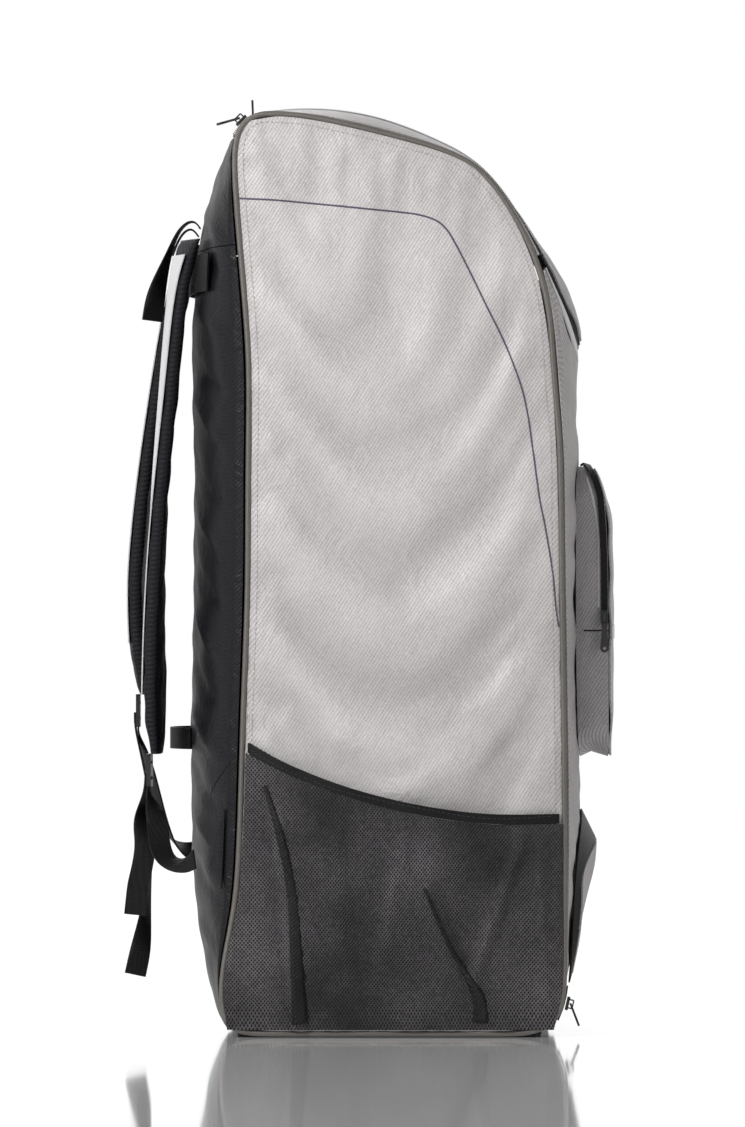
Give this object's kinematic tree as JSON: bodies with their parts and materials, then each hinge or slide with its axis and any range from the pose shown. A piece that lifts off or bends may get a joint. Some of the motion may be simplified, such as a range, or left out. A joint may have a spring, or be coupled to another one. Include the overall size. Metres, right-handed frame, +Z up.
{
  "type": "cricket kit bag",
  "caption": "Upright padded cricket kit bag with a zipped lid, front pocket, mesh side pockets, shoulder straps and a carry handle, closed and standing on its base.",
  "frame": {"origin": "middle of the flat underside of the base, where the bag stands", "axes": "+Z up along the bag; +X towards the front pockets; -X towards the back and its straps"},
  "size_m": [0.509, 0.3864, 0.9686],
  "materials": {
    "silver": "satin",
    "black": "satin",
    "piping": "satin",
    "mesh": "matte",
    "binding": "matte",
    "light": "matte",
    "zip": "matte",
    "hard": "matte",
    "pad": "matte"
  },
  "bodies": {
    "bag": {"front_panel": "silver", "lid": "silver", "gusset_near": "silver", "gusset_far": "silver", "side_panel_near": "silver", "side_panel_far": "silver", "front_pocket_gusset": "silver", "front_pocket_face": "silver", "low_pocket_face": "silver", "back_panel": "black", "back_yoke": "black", "base_panel": "black", "low_pocket_gusset": "black", "anchor_wing_near": "black", "anchor_wing_far": "black", "piping_near": "piping", "piping_far": "piping", "mesh_pocket_near": "mesh", "mesh_pocket_far": "mesh", "strap_anchor_band": "binding", "pocket_hem_near": "binding", "pocket_hem_far": "binding", "adjuster_near": "binding", "adjuster_far": "binding", "strap_tail_near": "binding", "strap_tail_far": "binding", "haul_loop_outer": "binding", "haul_loop_inner": "binding", "carry_handle": "binding", "lid_zip_band": "light", "front_pocket_band": "light", "strap_cover_near": "light", "strap_cover_far": "light", "lid_zip": "zip", "front_pocket_zip": "zip", "low_zip": "zip", "strap_buckle_near": "hard", "strap_buckle_far": "hard", "lid_near_slider": "hard", "lid_far_slider": "hard", "front_pocket_slider": "hard", "low_slider": "hard", "strap_near": "pad", "strap_far": "pad"},
    "lid_near_pull": {"lid_near_pull": "hard"},
    "lid_far_pull": {"lid_far_pull": "hard"},
    "front_pocket_pull": {"front_pocket_pull": "hard"},
    "low_pull": {"low_pull": "hard"}
  },
  "joints": [
    {"name": "lid_near_pull_swing", "type": "hinge", "parent": "bag", "child": "lid_near_pull", "pos_m": [-0.15622, -0.11872, 0.93728], "axis": [0, 1, 0], "range_deg": [-25, 145]},
    {"name": "lid_far_pull_swing", "type": "hinge", "parent": "bag", "child": "lid_far_pull", "pos_m": [-0.14492, 0.11876, 0.94459], "axis": [0, 1, 0], "range_deg": [-107, 63]},
    {"name": "front_pocket_pull_swing", "type": "hinge", "parent": "bag", "child": "front_pocket_pull", "pos_m": [0.21724, -0.1243, 0.427], "axis": [-1, 0, 0], "range_deg": [0, 170]},
    {"name": "low_pull_swing", "type": "hinge", "parent": "bag", "child": "low_pull", "pos_m": [0.18273, -0.1188, 0.03169], "axis": [0, 1, 0], "range_deg": [-140, 30]}
  ]
}
